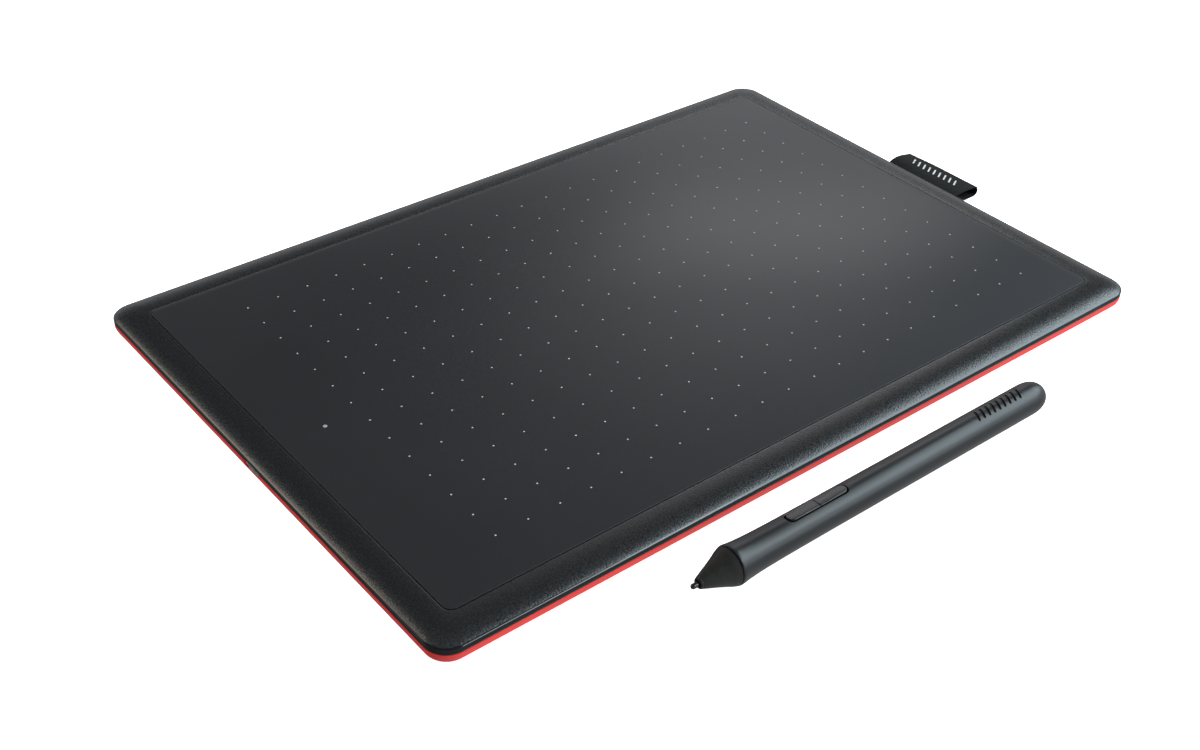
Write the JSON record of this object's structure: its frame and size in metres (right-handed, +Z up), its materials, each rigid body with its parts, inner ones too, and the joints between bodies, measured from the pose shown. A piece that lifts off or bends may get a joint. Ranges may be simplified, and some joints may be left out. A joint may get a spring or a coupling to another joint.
{
  "type": "pen drawing tablet",
  "caption": "Thin flat graphics tablet with a matte drawing sheet, a red underside, a fabric pen loop, and its cordless pressure pen lying along its front edge.",
  "frame": {"origin": "under the middle of the whole object, tablet and pen, on the surface that it stands on", "axes": "+X along the tablet's long side towards the pen loop, +Y to its back edge, +Z up"},
  "size_m": [0.2906, 0.2126, 0.0118],
  "materials": {
    "black_plastic": "fine spark-eroded grain",
    "drawing_surface": "smooth matte film with printed dots",
    "red_plastic": "satin",
    "foot_rubber": "matte",
    "steel": "satin",
    "shield_metal": "rolled sheet",
    "circuit_board": "solder mask",
    "chip_black": "moulded",
    "foam": "closed-cell foam",
    "clear_plastic": "clear",
    "led_white": "diffusing",
    "flex_film": "polyimide film",
    "label_film": "blank printed film",
    "woven_tape": "woven nylon",
    "pen_gunmetal": "satin, slightly metallic",
    "cone_black": "fine turned texture",
    "nib_black": "polished",
    "switch_black": "satin",
    "ferrite": "sintered",
    "copper_wire": "enamelled wire",
    "inner_plastic": "moulded"
  },
  "bodies": {
    "tablet": {"upper_case": "black_plastic", "drawing_sheet": "drawing_surface", "lower_case": "red_plastic", "foot_front_left": "foot_rubber", "foot_front_right": "foot_rubber", "foot_back_left": "foot_rubber", "foot_back_right": "foot_rubber", "case_screw_front_left": "steel", "case_screw_front_right": "steel", "case_screw_back_left": "steel", "case_screw_back_right": "steel", "rating_label": "label_film", "sensor_board": "circuit_board", "shield_plate": "shield_metal", "foam_strip_front": "foam", "foam_strip_back": "foam", "control_board": "circuit_board", "board_screw_front": "steel", "board_screw_back": "steel", "controller_chip": "chip_black", "sensing_chip": "chip_black", "crystal": "steel", "status_led": "led_white", "light_pipe": "clear_plastic", "flex_connector_control": "chip_black", "flex_connector_sensor": "chip_black", "flex_cable": "flex_film", "usb_shell": "steel", "usb_tongue": "chip_black", "pen_loop": "woven_tape", "loop_clamp": "chip_black"},
    "pen": {"pen_barrel": "pen_gunmetal", "pen_cone": "cone_black", "ferrite_core": "ferrite", "pen_coil": "copper_wire", "pressure_sensor": "inner_plastic", "pen_chassis": "inner_plastic", "pen_board": "circuit_board", "tact_switch_front": "steel", "tact_switch_rear": "steel", "tuning_capacitor": "chip_black"},
    "nib": {"nib": "nib_black", "nib_holder": "inner_plastic"},
    "side_switch": {"side_switch": "switch_black"}
  },
  "joints": [
    {"name": "pen_lift", "type": "slide", "parent": "tablet", "child": "pen", "axis": [0, 0, 1], "range_m": [0, 0.15]},
    {"name": "nib_press", "type": "slide", "parent": "pen", "child": "nib", "axis": [1, 0.0049, -0.0071], "range_m": [0, 0.0004], "stiffness_N_per_m": 3000, "springref_m": -0.0002},
    {"name": "side_switch_rock", "type": "hinge", "parent": "pen", "child": "side_switch", "pos_m": [-0.03347, -0.10016, 0.00708], "axis": [-0.0055, 0.9962, -0.0872], "range_deg": [-2.5, 2.5], "stiffness_Nm_per_rad": 0.5}
  ]
}
